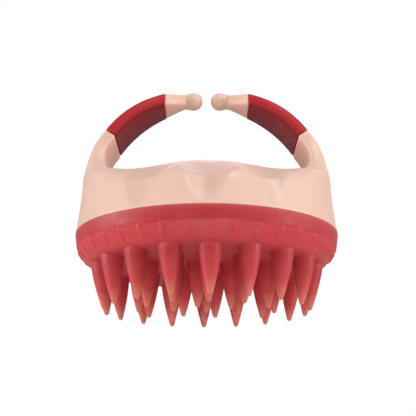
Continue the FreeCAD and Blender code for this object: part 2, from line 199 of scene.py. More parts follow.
def mark_wear_and_shade(bm: BMesh, rounds: int = 5) -> None:
    """Stores how sharply the surface bends at each point, for the finishes' worn edges and the painted shade
    in their hollows.

    Args:
        bm: the mesh in millimetres. Its new "bend" layer is positive on an edge, negative in a hollow.
        rounds: how many times neighbours are averaged.
    """
    bm.normal_update()
    bm.verts.index_update()
    near = [[edge.other_vert(vert).index for edge in vert.link_edges] for vert in bm.verts]
    places = [vert.co.copy() for vert in bm.verts]
    bends = []
    for vert, others in zip(bm.verts, near):
        steps = [places[other] - vert.co for other in others]
        rise = sum(vert.normal.dot(step) / max(step.length_squared, 0.01) for step in steps)
        bends.append(-rise / max(len(steps), 1))
    for _ in range(rounds):
        bends = [(b + sum(bends[o] for o in others)) / (1 + len(others)) for b, others in zip(bends, near)]
    layer = bm.verts.layers.float.new("bend")
    for vert, bend in zip(bm.verts, bends):
        vert[layer] = bend


def finish_piece(bm: BMesh, name: str, material: bpy.types.Material) -> bpy.types.Object:
    """Turns a mesh in millimetres to a smooth-shaded piece in metres.

    Args:
        bm: the mesh, which is freed. A "skin" layer on its points gives the shading of its marked faces.
        name: the piece's name.
        material: its finish.

    Returns:
        The new object, at the origin.
    """
    mark_wear_and_shade(bm)
    bmesh.ops.scale(bm, vec=(MM, MM, MM), verts=bm.verts)
    normals: list[Vector] = []
    skin = bm.verts.layers.float_vector.get("skin")
    shown = bm.faces.layers.int.get("shown")
    if skin is not None and shown is not None:
        for face in bm.faces:
            normals += [loop.vert[skin].copy() if face[shown] else Vector() for loop in face.loops]
        bm.verts.layers.float_vector.remove(skin)
        bm.faces.layers.int.remove(bm.faces.layers.int["shown"])
    for face in bm.faces:
        face.smooth = True
        face.material_index = 0
    mesh = bpy.data.meshes.new(name)
    bm.to_mesh(mesh)
    bm.free()
    if normals:
        mesh.normals_split_custom_set(normals)
    mesh.materials.append(material)
    piece = bpy.data.objects.new(name, mesh)
    bpy.context.scene.collection.objects.link(piece)
    LOG.info("%s: %d faces", name, len(mesh.polygons))
    return piece


def pull_loop(
    bm: BMesh, edges: list[Edge], move: Callable[[Vector], Vector]
) -> tuple[list[Edge], list[Vert]]:
    """Extrudes an open edge loop by one row.

    Args:
        bm: the mesh.
        edges: the loop.
        move: gives a point's new place.

    Returns:
        The new loop's edges and points.
    """
    made = bmesh.ops.extrude_edge_only(bm, edges=edges)["geom"]
    verts = [part for part in made if isinstance(part, Vert)]
    for vert in verts:
        vert.co = move(vert.co)
    loop = [part for part in made if isinstance(part, Edge) and part.is_boundary]
    return loop, verts


# ---------------------------------------------------------------- finishes


@dataclass(frozen=True)
class Grain:
    """A fine surface texture: its size across and its height, both in millimetres."""

    size: float
    height: float
    strength: float = 0.5


class Coat:
    """A material in the making, with the node steps that the finishes share."""

    def __init__(self, name: str, **constants: object) -> None:
        """Starts an empty material whose patterns are placed in millimetres.

        Args:
            name: the material's name.
            constants: the shader's even values, by input name with _ for each space.
        """
        self.material = bpy.data.materials.new(name)
        self.material.use_nodes = True
        self.tree = self.material.node_tree
        self.tree.nodes.clear()
        values = {key.replace("_", " "): value for key, value in constants.items()}
        self.shader = add_node(self.tree, "ShaderNodeBsdfPrincipled", values=values)
        add_node(self.tree, "ShaderNodeOutputMaterial", links={"Surface": self.shader.outputs["BSDF"]})
        self.where = add_node(self.tree, "ShaderNodeTexCoord").outputs["Object"]

    def noise(self, size: float, detail: float = 2.0, stretch: Sequence[float] = (1.0, 1.0, 1.0)) -> Socket:
        """Adds noise of a real size.

        Args:
            size: how far apart its spots are, in millimetres.
            detail: how many finer layers it has.
            stretch: how many times longer its spots are along each axis.

        Returns:
            The noise, about 0.25 to 0.75.
        """
        scale = {"Scale": tuple(1 / (size * MM * share) for share in stretch)}
        placed = add_node(self.tree, "ShaderNodeMapping", values=scale, links={"Vector": self.where})
        texture = add_node(
            self.tree,
            "ShaderNodeTexNoise",
            values={"Scale": 1.0, "Detail": detail, "Roughness": 0.55},
            links={"Vector": placed.outputs["Vector"]},
        )
        return texture.outputs["Fac"]

    def stain(
        self, colour: Socket | str, source: Socket, limits: Sequence[float], share: float, code: str
    ) -> Socket:
        """Lets a second colour in where a value lies between two limits.

        Args:
            colour: the colour so far, as a socket or in hex.
            source: the value.
            limits: where the second colour starts to show, and where it shows most.
            share: how much of it shows at the most.
            code: the second colour, in hex.

        Returns:
            The mixed colour.
        """
        ends = {"From Min": limits[0], "From Max": limits[1], "To Max": share}
        amount = add_node(self.tree, "ShaderNodeMapRange", values=ends, links={"Value": source})
        values: dict[str | int, object] = {7: to_linear(code)}
        links = {0: amount.outputs["Result"]}
        if isinstance(colour, str):
            values[6] = to_linear(colour)
        else:
            links[6] = colour
        settings = {"data_type": "RGBA"}
        return add_node(self.tree, "ShaderNodeMix", settings=settings, values=values, links=links).outputs[2]

    def bend(self) -> Socket:
        """Gives how sharply the surface bends: above 0 on an edge, below 0 in a hollow."""
        return add_node(self.tree, "ShaderNodeAttribute", settings={"attribute_name": "bend"}).outputs["Fac"]

    def finish(
        self,
        colour: Socket,
        gloss: Socket,
        roughness: tuple[float, float],
        grains: Iterable[Grain],
        limits: tuple[float, float] = (0.35, 0.65),
    ) -> bpy.types.Material:
        """Feeds the shader its colour, its uneven gloss and its stacked grains.

        Args:
            colour: the finished colour.
            gloss: noise that spreads the roughness.
            roughness: the least and the most.
            grains: the bump textures, each on top of the one before.
            limits: the noise that gives the least and the most.

        Returns:
            The finished material.
        """
        self.tree.links.new(colour, self.shader.inputs["Base Color"])
        ends = dict(zip(("From Min", "From Max", "To Min", "To Max"), limits + roughness))
        spread = add_node(self.tree, "ShaderNodeMapRange", values=ends, links={"Value": gloss})
        self.tree.links.new(spread.outputs["Result"], self.shader.inputs["Roughness"])
        below: dict[str | int, Socket] = {}
        for grain in grains:
            values = {"Strength": grain.strength, "Distance": grain.height * MM}
            links = {"Height": self.noise(grain.size)} | below
            bump = add_node(self.tree, "ShaderNodeBump", values=values, links=links)
            below = {"Normal": bump.outputs["Normal"]}
        self.tree.links.new(below["Normal"], self.shader.inputs["Normal"])
        return self.material


@dataclass(frozen=True)
class SatinShell:
    """Injection-moulded ABS with a spark-eroded satin surface.

    It gives the eye an even, slightly warm skin with broad soft highlights, faint hand smudges in
    its gloss, edges burnished paler by handling, and a painted shade in its hollows.
    """

    name: str = "abs_moulded_satin_blush"
    base: str = "ECCAB9"
    warm: str = "E6BFAC"
    burnished: str = "F2D5CB"
    painted_hollow_shade: str = "D39A8C"
    roughness: tuple[float, float] = (0.36, 0.50)
    # Real spark-eroded grain is about 0.05 mm; it is drawn at 0.4 mm so that it shows.
    grains: tuple[Grain, ...] = (Grain(0.4, 0.012, 0.35), Grain(14.0, 0.05, 0.25))

    def make(self) -> bpy.types.Material:
        """Builds the material.

        Returns:
            The finished material.
        """
        coat = Coat(
            self.name,
            IOR=1.53,
            Subsurface_Weight=0.12,
            Subsurface_Radius=(1.0, 0.45, 0.3),
            Subsurface_Scale=1.5 * MM,
        )
        colour = coat.stain(self.base, coat.noise(22.0), (0.38, 0.62), 0.6, self.warm)
        colour = coat.stain(colour, coat.bend(), (0.06, 0.35), 0.5, self.burnished)
        # Painted shade: the hollows are tinted darker where the surface bends inwards.
        colour = coat.stain(colour, coat.bend(), (-0.01, -0.1), 0.6, self.painted_hollow_shade)
        return coat.finish(colour, coat.noise(7.0, 4.0), self.roughness, self.grains)


@dataclass(frozen=True)
class MattSilicone:
    """Compression-moulded silicone rubber.

    It gives the eye a soft red with almost no sharp highlight. The thin tips are painted paler and
    more orange, a painted light shining through them. The ribbed band and underside, which face down,
    are painted lighter, a painted light from below; the smooth rim is painted deeper, a painted shade;
    and specks of lint cling to it.
    """

    name: str = "silicone_moulded_matt_red"
    # The tips are painted paler and more orange: painted light shining through the thin silicone.
    tip: str = "DF8470"
    stem: str = "C83C3E"
    root: str = "B42C38"
    # The ribbed band and the underside face down and are painted lighter, a painted light from below; the rim
    # above is painted deeper, a painted shade.
    band_painted_lighter: str = "CC4046"
    rim: str = "B62833"
    lint: str = "D5706A"
    # Where the zones' colours stand, from the tips up to the rim, and the height that the ramp spans.
    levels: tuple[float, ...] = (0.0, 5.2, 13.52, 16.64, 20.54, 20.93)
    height: float = 26.0
    # How far the borders wander for a full swing of the noise.
    wander: float = 1.25
    roughness: tuple[float, float] = (0.44, 0.60)
    # Mould texture on silicone is about 0.1 mm; it is drawn at 0.45 mm so that it shows.
    grains: tuple[Grain, ...] = (Grain(0.45, 0.015, 0.4), Grain(6.0, 0.05, 0.25))

    def zones(self, coat: Coat) -> Socket:
        """Colours the silicone by height, with painted light on the tips and the down-facing band, painted
        shade on the rim, and borders that wander a little.

        Args:
            coat: the material in the making.

        Returns:
            The colour.
        """
        height = add_node(coat.tree, "ShaderNodeSeparateXYZ", links={"Vector": coat.where}).outputs["Z"]
        settings = {"operation": "MULTIPLY_ADD"}
        span = self.height * MM
        values = {1: 1 / span, 2: -self.wander / 2 / self.height}
        even = add_node(coat.tree, "ShaderNodeMath", settings=settings, values=values, links={0: height})
        links = {0: coat.noise(5.0), 2: even.outputs["Value"]}
        share = add_node(
            coat.tree, "ShaderNodeMath", settings=settings, values={1: self.wander / self.height}, links=links
        )
        node = add_node(coat.tree, "ShaderNodeValToRGB", links={"Fac": share.outputs["Value"]})
        stops = node.color_ramp.elements
        colours = (self.tip, self.stem, self.root, self.band_painted_lighter, self.band_painted_lighter, self.rim)
        while len(stops) < len(colours):
            stops.new(1.0)
        for stop, place, code in zip(stops, self.levels, colours):
            stop.position = place / self.height
            stop.color = to_linear(code)
        return node.outputs["Color"]

    def make(self) -> bpy.types.Material:
        """Builds the material.

        Returns:
            The finished material.
        """
        coat = Coat(
            self.name,
            IOR=1.41,
            Subsurface_Weight=0.15,
            Subsurface_Radius=(1.0, 0.3, 0.25),
            Subsurface_Scale=1.8 * MM,
            Sheen_Weight=0.05,
            Sheen_Roughness=0.5,
        )
        colour = coat.stain(self.zones(coat), coat.noise(7.0, 3.0), (0.4, 0.7), 0.1, self.lint)
        colour = coat.stain(colour, coat.bend(), (0.05, 0.4), 0.4, self.lint)
        colour = coat.stain(colour, coat.noise(0.6, 1.0), (0.72, 0.78), 0.3, self.lint)
        return coat.finish(colour, coat.noise(4.0, 4.0), self.roughness, self.grains)


@dataclass(frozen=True)
class SoftTouchRubber:
    """Thermoplastic rubber moulded over the arm, with a fine peened surface.

    It gives the eye a deep red that stays matt, a fine orange-peel texture, a painted shade on its
    inner face, and rubbed paler patches along its rolled edges.
    """

    name: str = "tpr_overmoulded_peened_red"
    base: str = "B8262F"
    deep: str = "A81F2A"
    rubbed: str = "C63C40"
    # Faces that look down, towards the fingers, get a painted shade of deeper red. The painted shade
    # goes by the world's up, so it shifts a little when the arm turns.
    painted_underside_shade: str = "6C0F18"
    roughness: tuple[float, float] = (0.42, 0.58)
    # Real peening is about 0.15 mm; it is drawn at 0.6 mm so that it shows.
    grains: tuple[Grain, ...] = (Grain(0.6, 0.03, 0.5), Grain(5.0, 0.06, 0.2))

    def make(self) -> bpy.types.Material:
        """Builds the material.

        Returns:
            The finished material.
        """
        coat = Coat(self.name, IOR=1.5, Specular_IOR_Level=0.25)
        colour = coat.stain(self.base, coat.noise(8.0, 3.0), (0.35, 0.65), 0.7, self.deep)
        colour = coat.stain(colour, coat.bend(), (0.08, 0.4), 0.5, self.rubbed)
        facing = add_node(coat.tree, "ShaderNodeNewGeometry").outputs["Normal"]
        upward = add_node(coat.tree, "ShaderNodeSeparateXYZ", links={"Vector": facing}).outputs["Z"]
        # Painted shade: faces that look down are tinted a deeper red.
        colour = coat.stain(colour, upward, (-0.1, -0.6), 0.85, self.painted_underside_shade)
        return coat.finish(colour, coat.noise(3.0, 4.0), self.roughness, self.grains)


@dataclass(frozen=True)
class InnerFinish:
    """A plain workshop finish for the pieces inside: carrier, seal and screws.

    It gives the eye an honest raw part: faint flow clouds, a light tooling grain and uneven gloss.
    """

    name: str
    base: str
    shade: str
    roughness: tuple[float, float]
    metallic: float = 0.0
    grains: tuple[Grain, ...] = (Grain(0.5, 0.01, 0.4),)
    cloud_size: float = 6.0
    stretch: tuple[float, float, float] = (1.0, 1.0, 1.0)

    def make(self) -> bpy.types.Material:
        """Builds the material.

        Returns:
            The finished material.
        """
        coat = Coat(self.name, Metallic=self.metallic)
        cloud = coat.noise(self.cloud_size, 3.0, self.stretch)
        colour = coat.stain(self.base, cloud, (0.35, 0.65), 1.0, self.shade)
        return coat.finish(colour, cloud, self.roughness, self.grains, limits=(0.3, 0.7))


# ---------------------------------------------------------------- the arm's line


@dataclass(frozen=True)
class ArmLine:
    """The circle that an arm's middle line follows, and the depth of its sleeve."""

    centre_reach: float = 3.6
    centre_height: float = 40.2
    radius: float = 34.6
    sleeve_start: float = 56.0
    sleeve_end: float = 18.4
    sleeve_half_depths: tuple[float, float] = (11.4, 7.2)

    def point(self, angle: float, out: float) -> tuple[float, float]:
        """Gives a point beside the middle line.

        Args:
            angle: the line's slope from level there, in degrees.
            out: how far outside the line, in millimetres.

        Returns:
            Its reach from the middle and its height.
        """
        turn = math.radians(angle)
        reach = self.radius + out
        return self.centre_reach + reach * math.sin(turn), self.centre_height + reach * math.cos(turn)

    def half_depth(self, angle: float) -> float:
        """Gives half the sleeve's depth front to back.

        Args:
            angle: the line's slope there, in degrees.

        Returns:
            Half the depth.
        """
        share = (self.sleeve_start - angle) / (self.sleeve_start - self.sleeve_end)
        share = min(1.0, max(0.0, share))
        deep, slim = self.sleeve_half_depths
        return deep + (slim - deep) * share**1.6


@dataclass(frozen=True)
class Station:
    """One section across an arm, from its inner face to its outer face."""

    inner: tuple[float, float]
    outer: tuple[float, float]
    half_depth: float
    roundness: float = 0.0
    bow: float = 0.0
    hollow: float = 0.0

    @staticmethod
    def on_line(
        line: ArmLine,
        angle: float,
        half_thickness: float,
        half_depth: float,
        slant: float = 0.0,
        **extra: float,
    ) -> "Station":
        """Makes a section across the arm's circle.

        Args:
            line: the arm's line.
            angle: the slope there, in degrees.
            half_thickness: half the section's thickness.
            half_depth: half its depth front to back.
            slant: degrees that the inner face lags and the outer face leads; 0 is square.
            extra: roundness, bow or hollow.

        Returns:
            The section.
        """
        inner = line.point(angle + slant, -half_thickness)
        return Station(inner, line.point(angle - slant, half_thickness), half_depth, **extra)

    def place(self, across: float, through: float, side: Side) -> Vector:
        """Gives a point of the section.

        Args:
            across: -1 at the front edge to 1 at the back edge.
            through: -1 at the inner face to 1 at the outer face.
            side: which arm.

        Returns:
            Its place in millimetres.
        """
        round_across = across * math.sqrt(1 - through * through / 2)
        round_through = through * math.sqrt(1 - across * across / 2)
        wide = across + (round_across - across) * self.roundness
        deep = through + (round_through - through) * self.roundness
        share = (deep + 1) / 2
        share += self.hollow * (1 - share) * (1 - wide * wide)
        reach = self.inner[0] + (self.outer[0] - self.inner[0]) * share - self.bow * wide * wide * share
        height = self.inner[1] + (self.outer[1] - self.inner[1]) * share
        return Vector((reach * side.value, wide * self.half_depth, height))


# ---------------------------------------------------------------- casing and arms


@dataclass
class CasingWithArms:
    """The domed casing and the two arms that grow out of its shoulders as one flowing skin."""

    line: ArmLine
    columns: int = 72
    shoulder_columns: int = 5
    shoulder_rings: tuple[int, int] = (5, 8)
    # The outer section, from the middle of the top down to the foot.
    profile: Profile = (
        (0.0, 47.6), (7.0, 47.36), (14.0, 46.75), (21.0, 45.7), (27.0, 44.45), (31.5, 43.1),
        (35.2, 41.6), (38.3, 39.9), (40.7, 38.1), (41.95, 36.2), (42.55, 33.4), (43.1, 30.4),
        (43.6, 27.6), (43.86, 26.1), (43.9, 25.56), (43.9, 25.43), (43.7, 25.42), (41.5, 25.42),
    )
    # The shoulder is full up to the first angle from the X axis and gone at the second.
    shoulder_fade: tuple[float, float] = (26.0, 47.0)
    # Where the rings stand at the middle of a shoulder, in place of the profile's points.
    shoulder_profile: dict[int, tuple[float, float]] = field(
        default_factory=lambda: {
            4: (27.3, 44.6),
            5: (31.6, 44.4),
            6: (35.2, 45.0),
            7: (39.0, 44.9),
            8: (42.2, 43.0),
            9: (42.3, 39.6),
            10: (42.6, 36.0),
            11: (43.05, 32.0),
        }
    )
    # The inner wall, from the foot up to the ceiling.
    inside: Profile = (
        (37.7, 25.42), (37.7, 21.6), (36.2, 21.6), (36.2, 27.1), (39.2, 27.1), (36.3, 35.4),
        (30.0, 38.7), (20.0, 42.4), (10.0, 44.5), (2.0, 45.1),
    )
    # Where the points of an arm's section lie: front to back, and inner face to outer face.
    across: tuple[float, ...] = (-1.0, -0.93, -0.76, -0.52, -0.26, 0.0, 0.26, 0.52, 0.76, 0.93, 1.0)
    through: tuple[float, ...] = (-1.0, -0.4, 0.4, 1.0)
    # A groove is a cylinder pressed into the wall. Its axis stands at this reach and height and leans
    # outwards below it. A scoop dips the top edge above each groove.
    groove_radius: float = 9.0
    groove_reach: float = 47.9
    groove_height: float = 37.5
    groove_tilt: float = 27.0
    groove_spacing: float = 27.5
    groove_softness: float = 0.3
    groove_span: tuple[float, float] = (26.5, 47.0)
    scoop_depth: float = 3.6
    scoop_half_width: float = 10.5
    scoop_reach: tuple[float, float] = (25.0, 38.0)
    scoop_height: tuple[float, float] = (33.0, 39.0)
    # Between the casing's foot and the arms' roots: it tells one open edge from the other.
    waist: float = 30.0
    knob_slope: float = 1.8
    knob_radius: float = 3.1
    # How far along the knob each section stands and how wide it is, as shares of its radius.
    knob_swell: Profile = ((-0.8, 0.8), (-0.4, 0.95), (0.05, 1.03), (0.5, 0.94), (0.84, 0.67), (1.02, 0.33))

    def stations(self) -> list[Station]:
        """Lists an arm's sections from its root to its knob.

        Returns:
            The sections.
        """
        line = self.line
        strap = 2.12
        core = 1.3
        root = [
            Station((31.9, 45.5), (42.2, 44.2), 17.2, bow=3.2, roundness=0.35),
            Station((33.1, 47.3), (41.6, 46.4), 15.4, bow=2.3, hollow=0.05, roundness=0.35),
            Station((33.9, 49.6), (40.7, 48.9), 13.8, bow=1.4, hollow=0.15, roundness=0.3),
            Station((33.9, 52.2), (39.3, 52.1), 12.5, bow=0.7, hollow=0.22, roundness=0.2),
            Station((33.1, 54.8), (37.7, 55.5), 11.6, bow=0.2, hollow=0.22, roundness=0.1),
            Station.on_line(line, 58.8, strap, 11.2, hollow=0.15),
        ]
        edge = line.sleeve_start
        end = line.sleeve_end
        held = [
            Station.on_line(line, edge + 1.3, strap, line.half_depth(edge), roundness=0.15),
            Station.on_line(line, edge + 0.9, strap - 0.1, line.half_depth(edge) - 0.1, roundness=0.15),
            Station.on_line(line, edge + 0.6, core, line.half_depth(edge) - 0.8),
        ]
        for angle in (50.0, 43.0, 36.0, 29.0, 23.5, end + 1.3):
            held.append(Station.on_line(line, angle, core, line.half_depth(angle) - 0.9))
        tip = line.half_depth(end)
        neck = [
            Station.on_line(line, end - 0.4, strap - 0.15, tip - 0.2, roundness=0.3, slant=1.3),
            Station.on_line(line, end - 0.9, strap + 0.05, tip - 0.05, roundness=0.35, slant=1.2),
            Station.on_line(line, 15.3, strap + 0.1, 6.3, roundness=0.4, slant=0.6),
            Station.on_line(line, 12.5, strap + 0.12, 5.0, roundness=0.5),
            Station.on_line(line, 9.7, strap + 0.15, 4.0, roundness=0.65),
            Station.on_line(line, 7.3, strap + 0.25, 3.2, roundness=0.85),
        ]
        knob = []
        for along, share in self.knob_swell:
            slope = self.knob_slope - math.degrees(along * self.knob_radius / line.radius)
            size = self.knob_radius * share
            knob.append(Station.on_line(line, slope, size, size, roundness=1.0))
        return root + held + neck + knob

    def lift_shoulders(self, bm: BMesh) -> dict[Vert, int]:
        """Raises the skin round each arm's root, so that the wall runs on up into the arm.

        Args:
            bm: the turned cage.

        Returns:
            Each point's ring, counted from the top.
        """
        rings: dict[Vert, int] = {}
        for vert in bm.verts:
            reach = math.hypot(vert.co.x, vert.co.y)
            gaps = [abs(reach - r) + abs(vert.co.z - z) for r, z in self.profile]
            ring = rings[vert] = gaps.index(min(gaps))
            if ring not in self.shoulder_profile:
                continue
            turn = math.atan2(abs(vert.co.y), abs(vert.co.x))
            weight = 1 - ease(math.degrees(turn), *self.shoulder_fade)
            target_reach, target_height = self.shoulder_profile[ring]
            # The upper rings run straight across the shoulder instead of round it.
            flat = ease(-ring, -8.0, -5.0) * (1 / math.cos(min(turn, math.radians(22))) - 1)
            target_reach *= 1 + flat
            new_reach = reach + (target_reach - reach) * weight
            scale = new_reach / reach
            height = vert.co.z + (target_height - vert.co.z) * weight
            vert.co = Vector((vert.co.x * scale, vert.co.y * scale, height))
        return rings

    def grow_arm(self, bm: BMesh, rings: dict[Vert, int], side: Side) -> None:
        """Extrudes one arm out of its shoulder.

        Args:
            bm: the cage.
            rings: each point's ring.
            side: which arm.
        """
        column = bm.verts.layers.int["column"]
        row = bm.verts.layers.int["row"]
        top, foot = self.shoulder_rings
        step = 360 / self.columns
        chosen = []
        for face in bm.faces:
            if all(v in rings and top <= rings[v] <= foot and v.co.x * side.value > 0 for v in face.verts):
                turns = [math.degrees(math.atan2(v.co.y, v.co.x * side.value)) / step for v in face.verts]
                if max(abs(turn) for turn in turns) < self.shoulder_columns + 0.1:
                    chosen.append(face)
                    for vert, turn in zip(face.verts, turns):
                        vert[column] = round(turn) + self.shoulder_columns
                        vert[row] = rings[vert] - top
        for station in self.stations():
            made = bmesh.ops.extrude_face_region(bm, geom=chosen)["geom"]
            bmesh.ops.delete(bm, geom=chosen, context="FACES")
            chosen = [part for part in made if isinstance(part, Face)]
            for vert in (part for part in made if isinstance(part, Vert)):
                vert.co = station.place(self.across[vert[column]], self.through[vert[row]], side)
                for face in vert.link_faces:
                    face.material_index = side.mark

    def press_grooves(self, bm: BMesh) -> None:
        """Presses three finger grooves into the front wall and three into the back.

        Args:
            bm: the smooth skin.
        """
        tilt = math.radians(self.groove_tilt)
        headings = [math.radians(h + s * self.groove_spacing) for h in (270.0, 90.0) for s in (-1, 0, 1)]
        soft = self.groove_softness
        low, high = self.groove_span
        for vert in bm.verts:
            if not low <= vert.co.z <= high:
                continue
            for heading in headings:
                out = Vector((math.cos(heading), math.sin(heading), 0.0))
                beside = Vector((-out.y, out.x, 0.0))
                along, sideways = vert.co.dot(out), vert.co.dot(beside)
                if along < self.scoop_reach[0] or abs(sideways) >= self.scoop_half_width:
                    continue
                dip = (1 - (sideways / self.scoop_half_width) ** 2) ** 2 * ease(along, *self.scoop_reach)
                vert.co.z -= self.scoop_depth * dip * ease(vert.co.z, *self.scoop_height)
                if abs(sideways) >= self.groove_radius:
                    continue
                centre = self.groove_reach + (self.groove_height - vert.co.z) * math.tan(tilt)
                bite = math.sqrt(1 - (sideways / self.groove_radius) ** 2)
                excess = along - (centre - self.groove_radius / math.cos(tilt) * bite)
                within = min(soft, max(-soft, excess))
                vert.co -= out * ((within + soft) ** 2 / (4 * soft) + max(0.0, excess - soft))

    def skin(self) -> BMesh:
        """Makes the whole skin: casing and both arms in one.

        Returns:
            The smooth skin in millimetres. Each arm's faces carry its side's mark.
        """
        bm = spin_profile(self.profile, self.columns)
        bm.verts.layers.int.new("column")
        bm.verts.layers.int.new("row")
        rings = self.lift_shoulders(bm)
        for side in Side:
            self.grow_arm(bm, rings, side)
        bmesh.ops.recalc_face_normals(bm, faces=bm.faces)
        fine = subdivided(bm, 2)
        self.press_grooves(fine)
        fine.normal_update()
        skin = fine.verts.layers.float_vector.new("skin")
        shown = fine.faces.layers.int.new("shown")
        for vert in fine.verts:
            vert[skin] = vert.normal
        for face in fine.faces:
            face[shown] = 1
        return fine

    @staticmethod
    def take(whole: BMesh, mark: int) -> BMesh:
        """Copies one part out of the whole skin.

        Args:
            whole: the skin, which is left as it is.
            mark: the part's material index.

        Returns:
            The part, open where it was joined.
        """
        part = whole.copy()
        others = [face for face in part.faces if face.material_index != mark]
        bmesh.ops.delete(part, geom=others, context="FACES")
        return part

    @classmethod
    def close_root(cls, bm: BMesh, hidden: Hidden) -> None:
        """Closes each open edge at an arm's root with a wall and a floor inside the casing.

        Args:
            bm: the part.
            hidden: how deep the floor lies.
        """
        shown = bm.faces.layers.int["shown"]
        for sign in (-1, 1):
            rim = [
                edge
                for edge in bm.edges
                if edge.is_boundary and edge.verts[0].co.z > cls.waist and edge.verts[0].co.x * sign > 0
            ]
            if not rim:
                continue
            points = {vert for edge in rim for vert in edge.verts}
            middle = sum((vert.co for vert in points), Vector()) / len(points)
            before = set(bm.faces)

            def sink(place: Vector, middle: Vector = middle) -> Vector:
                """Draws a point of the edge in a little and down."""
                return middle + (place - middle) * 0.97 - Vector((0, 0, hidden.value))

            loop, _ = pull_loop(bm, rim, sink)
            bmesh.ops.contextual_create(bm, geom=loop)
            for face in set(bm.faces) - before:
                face[shown] = 0

    def line_inside(self, bm: BMesh) -> None:
        """Gives the casing its inner wall, from the foot to the middle of its ceiling.

        Args:
            bm: the casing's skin.
        """
        shown = bm.faces.layers.int["shown"]
        before = set(bm.faces)
        loop = [edge for edge in bm.edges if edge.is_boundary and edge.verts[0].co.z < self.waist]
        verts: list[Vert] = []
        for reach, height in self.inside:

            def move(place: Vector, reach: float = reach, height: float = height) -> Vector:
                """Takes a point of the edge to the wall's next ring."""
                turn = math.atan2(place.y, place.x)
                return Vector((reach * math.cos(turn), reach * math.sin(turn), height))

            loop, verts = pull_loop(bm, loop, move)
        bmesh.ops.pointmerge(bm, verts=verts, merge_co=(0.0, 0.0, self.inside[-1][1] + 0.02))
        for face in set(bm.faces) - before:
            face[shown] = 0

    def build(self, material: bpy.types.Material) -> None:
        """Builds the casing and both straps, and ties the casing to its body.

        Args:
            material: the shell's finish.
        """
        whole = self.skin()
        casing = self.take(whole, mark=0)
        self.close_root(casing, Hidden.RECESS)
        self.line_inside(casing)
        bmesh.ops.recalc_face_normals(casing, faces=casing.faces)
        piece = finish_piece(casing, "casing_dome", material)
        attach(piece, "casing")
        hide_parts("top_shell")
        for side in Side:
            strap = self.take(whole, side.mark)
            self.close_root(strap, Hidden.PLUG)
            bmesh.ops.recalc_face_normals(strap, faces=strap.faces)
            piece = finish_piece(strap, "arm_strap_" + side.word, material)
            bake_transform(piece)
            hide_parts("arm_" + side.word)
        whole.free()


# ---------------------------------------------------------------- grip sleeves


@dataclass
class GripSleeve:
    """A soft sleeve round an arm: a curved tube with rolled ends that hugs the recessed core."""

    line: ArmLine
    side: Side
    outer: float = 2.42
    inner: float = 1.4
    roundness: float = 0.4
    across: tuple[float, ...] = (-1.0, -0.88, -0.6, -0.3, 0.0, 0.3, 0.6, 0.88, 1.0)
    through: tuple[float, ...] = (-0.45, 0.45)

    def rim(self) -> list[tuple[float, float]]:
        """Lists the points round a section.

        Returns:
            Across and through for each point, in order round it.
        """
        top = [(a, 1.0) for a in self.across]
        back = [(1.0, t) for t in reversed(self.through)]
        under = [(a, -1.0) for a in reversed(self.across)]
        front = [(-1.0, t) for t in self.through]
        return top + back + under + front

    def stations(self) -> list[Station]:
        """Lists the tube's sections: out along its surface, over the far lip and back inside.

        Returns:
            The sections of a closed loop.
        """
        start, end = self.line.sleeve_start, self.line.sleeve_end
        path = [(start, self.inner), (start + 0.45, self.inner + 0.15), (start + 0.45, self.outer - 0.2)]
        path += [(start, self.outer), (start - 1.2, self.outer)]
        path += [(angle, self.outer) for angle in (50.0, 44.0, 38.0, 32.0, 26.0, 21.5)]
        path += [(end + 1.0, self.outer), (end + 0.1, self.outer), (end - 0.35, self.outer - 0.2)]
        path += [(end - 0.35, self.inner + 0.15), (end + 0.1, self.inner), (end + 1.2, self.inner)]
        path += [(angle, self.inner) for angle in (26.0, 32.0, 38.0, 44.0, 50.0)]
        sections = []
        for angle, half in path:
            depth = self.line.half_depth(angle) + 0.3 - (self.outer - half)
            slant = 1.3 * (1 - ease(angle, self.line.sleeve_end, 27.0))
            section = Station.on_line(self.line, angle, half, depth, slant=slant, roundness=self.roundness)
            sections.append(section)
        return sections

    def build(self, material: bpy.types.Material) -> None:
        """Builds the sleeve and ties it to its arm.

        Args:
            material: its finish.
        """
        rim = self.rim()
        bm = bmesh.new()
        bmesh.ops.create_circle(bm, segments=len(rim), radius=1.0)
        bm.verts.ensure_lookup_table()
        order = bm.verts.layers.int.new("order")
        for number, vert in enumerate(bm.verts):
            vert[order] = number
        edges = list(bm.edges)
        verts = list(bm.verts)
        first = list(bm.edges)
        for number, station in enumerate(self.stations()):
            if number:
                made = bmesh.ops.extrude_edge_only(bm, edges=edges)["geom"]
                verts = [part for part in made if isinstance(part, Vert)]
                edges = [part for part in made if isinstance(part, Edge) and part.is_boundary]
            for vert in verts:
                vert.co = station.place(*rim[vert[order]], self.side)
        bmesh.ops.bridge_loops(bm, edges=first + edges)
        bmesh.ops.recalc_face_normals(bm, faces=bm.faces)
        piece = finish_piece(subdivided(bm, 2), "grip_sleeve_skin_" + self.side.word, material)
        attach(piece, self.side.word + "_arm")
        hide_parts("grip_sleeve_" + self.side.word)


# ---------------------------------------------------------------- pad and bristles


